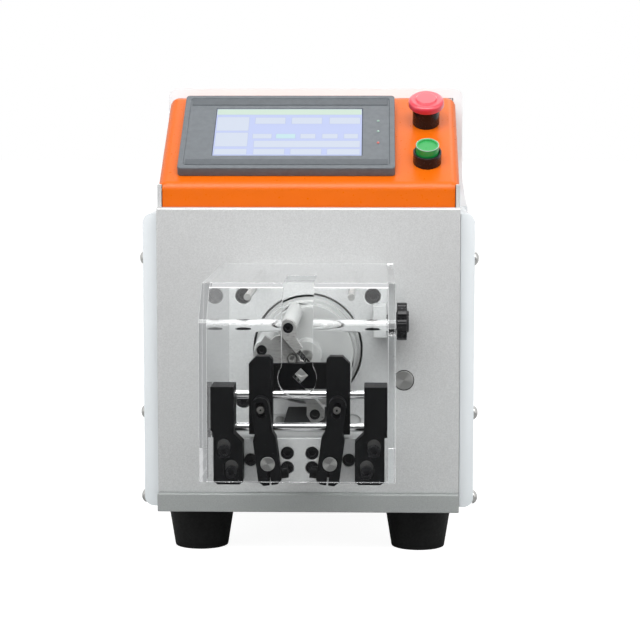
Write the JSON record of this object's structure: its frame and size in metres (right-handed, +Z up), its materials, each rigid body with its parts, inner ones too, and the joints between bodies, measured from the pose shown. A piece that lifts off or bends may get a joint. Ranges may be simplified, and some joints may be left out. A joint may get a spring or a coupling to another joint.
{
  "type": "coaxial cable stripping machine",
  "caption": "Bench machine that clamps a coaxial cable in notched jaws under a clear guard and strips it with a rotating blade head, set from a sloping touch screen panel.",
  "frame": {"origin": "on the bench, under the centre of the box round the whole machine", "axes": "+X to the operator's right, +Y from the operator into the machine, +Z up"},
  "size_m": [0.2152, 0.4902, 0.2954],
  "materials": {
    "clear_anodised": "bead-blasted clear anodised",
    "black_anodised": "satin black anodised",
    "white_paint": "fine textured white powder coat",
    "orange_paint": "fine textured orange powder coat",
    "ground_steel": "ground and turned steel",
    "bright_rod": "hard chrome plated",
    "black_oxide": "black oxide",
    "zinc_screw": "zinc plated",
    "blade_steel": "ground and honed",
    "bronze": "turned bronze",
    "foot_rubber": "matte",
    "dark_plastic": "fine textured",
    "black_plastic": "satin",
    "display": "gloss",
    "stop_red": "gloss",
    "start_green": "translucent gloss",
    "clear_acrylic": "polished acrylic",
    "motor_black": "satin",
    "board_green": "solder mask",
    "supply_steel": "galvanised sheet",
    "belt_rubber": "moulded"
  },
  "bodies": {
    "frame": {"base_plate": "clear_anodised", "rubber_feet": "foot_rubber", "front_plate": "clear_anodised", "side_frames": "clear_anodised", "rear_panel": "white_paint", "outer_cover": "white_paint", "cover_screws": "zinc_screw", "console_panel": "orange_paint", "screen_bezel": "dark_plastic", "screen_glass": "display", "stop_collar": "black_plastic", "start_bezel": "black_plastic", "plate_screws": "black_oxide", "tie_rods": "ground_steel", "bearing_plate": "clear_anodised", "guide_shafts": "ground_steel", "support_beam": "black_anodised", "clamp_block": "clear_anodised", "clamp_screws": "black_oxide", "left_post": "black_anodised", "right_post": "black_anodised", "jaw_rods": "bright_rod", "lever_bushes": "bronze", "motor_bracket": "clear_anodised", "clamp_motor": "motor_black", "feed_motor": "motor_black", "power_supply": "supply_steel", "control_board": "board_green", "inlet_module": "black_plastic", "guard_bracket": "clear_anodised", "guard_rods": "ground_steel"},
    "carriage": {"carriage": "clear_anodised", "linear_bushes": "ground_steel", "spindle_bearings": "ground_steel", "feed_nut": "bronze", "spindle_motor": "motor_black", "drive_belt": "belt_rubber"},
    "feed_screw": {"feed_screw": "ground_steel"},
    "rotor": {"rotor_head": "clear_anodised", "driven_pulley": "clear_anodised", "pivot_screws": "black_oxide"},
    "motor_pulley": {"motor_pulley": "clear_anodised"},
    "blade_arm_a": {"blade_arm_a": "ground_steel", "blade_a": "blade_steel"},
    "blade_arm_b": {"blade_arm_b": "ground_steel", "blade_b": "blade_steel"},
    "centring_jaw_a": {"centring_jaw_a": "ground_steel"},
    "centring_jaw_b": {"centring_jaw_b": "ground_steel"},
    "left_lever": {"left_lever": "black_anodised", "left_gear_shaft": "ground_steel"},
    "right_lever": {"right_lever": "black_anodised", "right_gear_shaft": "ground_steel"},
    "left_jaw": {"left_jaw": "black_anodised"},
    "right_jaw": {"right_jaw": "black_anodised"},
    "guard": {"guard": "clear_acrylic"},
    "star_knob": {"star_knob": "black_plastic"},
    "stop_plunger": {"stop_stem": "dark_plastic"},
    "stop_mushroom": {"stop_mushroom": "stop_red"},
    "start_button": {"start_button": "start_green"},
    "power_switch": {"power_switch": "black_plastic"}
  },
  "joints": [
    {"name": "head_feed", "type": "slide", "parent": "frame", "child": "carriage", "axis": [0, 1, 0], "range_m": [0, 0.04]},
    {"name": "feed_screw_turn", "type": "hinge", "parent": "frame", "child": "feed_screw", "pos_m": [-0.062, 0.0289, 0.15], "axis": [0, 1, 0], "range_deg": [0, 2880]},
    {"name": "head_spin", "type": "hinge", "parent": "carriage", "child": "rotor", "pos_m": [0, -0.0711, 0.1308], "axis": [0, 1, 0], "continuous": true},
    {"name": "motor_spin", "type": "hinge", "parent": "carriage", "child": "motor_pulley", "pos_m": [0, -0.0511, 0.1868], "axis": [0, 1, 0], "continuous": true},
    {"name": "blade_a_close", "type": "hinge", "parent": "rotor", "child": "blade_arm_a", "pos_m": [-0.00769, -0.1821, 0.15564], "axis": [0, 1, 0], "range_deg": [-3, 9]},
    {"name": "blade_b_close", "type": "hinge", "parent": "rotor", "child": "blade_arm_b", "pos_m": [0.00769, -0.1821, 0.10596], "axis": [0, 1, 0], "range_deg": [-3, 9]},
    {"name": "centring_a_close", "type": "hinge", "parent": "rotor", "child": "centring_jaw_a", "pos_m": [-0.02313, -0.1751, 0.14223], "axis": [0, 1, 0], "range_deg": [-3, 7]},
    {"name": "centring_b_close", "type": "hinge", "parent": "rotor", "child": "centring_jaw_b", "pos_m": [0.02313, -0.1751, 0.11937], "axis": [0, 1, 0], "range_deg": [-3, 7]},
    {"name": "left_lever_turn", "type": "hinge", "parent": "frame", "child": "left_lever", "pos_m": [-0.01725, -0.2171, 0.0842], "axis": [0, 1, 0], "range_deg": [-6.5, 6.5]},
    {"name": "right_lever_turn", "type": "hinge", "parent": "frame", "child": "right_lever", "pos_m": [0.01725, -0.2171, 0.0842], "axis": [0, 1, 0], "range_deg": [-6.5, 6.5]},
    {"name": "left_jaw_slide", "type": "slide", "parent": "frame", "child": "left_jaw", "axis": [1, 0, 0], "range_m": [-0.0035, 0.0035]},
    {"name": "right_jaw_slide", "type": "slide", "parent": "frame", "child": "right_jaw", "axis": [1, 0, 0], "range_m": [-0.0035, 0.0035]},
    {"name": "guard_slide", "type": "slide", "parent": "frame", "child": "guard", "axis": [0, -1, 0], "range_m": [0, 0.18]},
    {"name": "knob_turn", "type": "hinge", "parent": "frame", "child": "star_knob", "pos_m": [0.058, -0.0851, 0.1499], "axis": [1, 0, 0], "range_deg": [0, 720]},
    {"name": "stop_push", "type": "slide", "parent": "frame", "child": "stop_plunger", "axis": [0, 0.5461, -0.8377], "range_m": [0, 0.003]},
    {"name": "stop_twist", "type": "hinge", "parent": "stop_plunger", "child": "stop_mushroom", "pos_m": [0.0748, -0.00907, 0.2823], "axis": [0, -0.5461, 0.8377], "range_deg": [0, 40], "stiffness_Nm_per_rad": 0.02},
    {"name": "start_push", "type": "slide", "parent": "frame", "child": "start_button", "axis": [0, 0.5461, -0.8377], "range_m": [0, 0.0025], "stiffness_N_per_m": 400},
    {"name": "switch_rock", "type": "hinge", "parent": "frame", "child": "power_switch", "pos_m": [0.045, 0.2384, 0.1004], "axis": [0, 0, 1], "range_deg": [0, 16]}
  ],
  "couplings": [
    {"joint": "feed_screw_turn", "follows": "head_feed", "rad_per_m": 1256.6},
    {"joint": "motor_spin", "follows": "head_spin", "ratio": 1.6667},
    {"joint": "blade_b_close", "follows": "blade_a_close", "ratio": 1},
    {"joint": "centring_a_close", "follows": "blade_a_close", "ratio": 0.75},
    {"joint": "centring_b_close", "follows": "blade_a_close", "ratio": 0.75},
    {"joint": "right_lever_turn", "follows": "left_lever_turn", "ratio": -1},
    {"joint": "left_jaw_slide", "follows": "left_lever_turn", "m_per_rad": 0.0306},
    {"joint": "right_jaw_slide", "follows": "left_lever_turn", "m_per_rad": -0.0306}
  ]
}
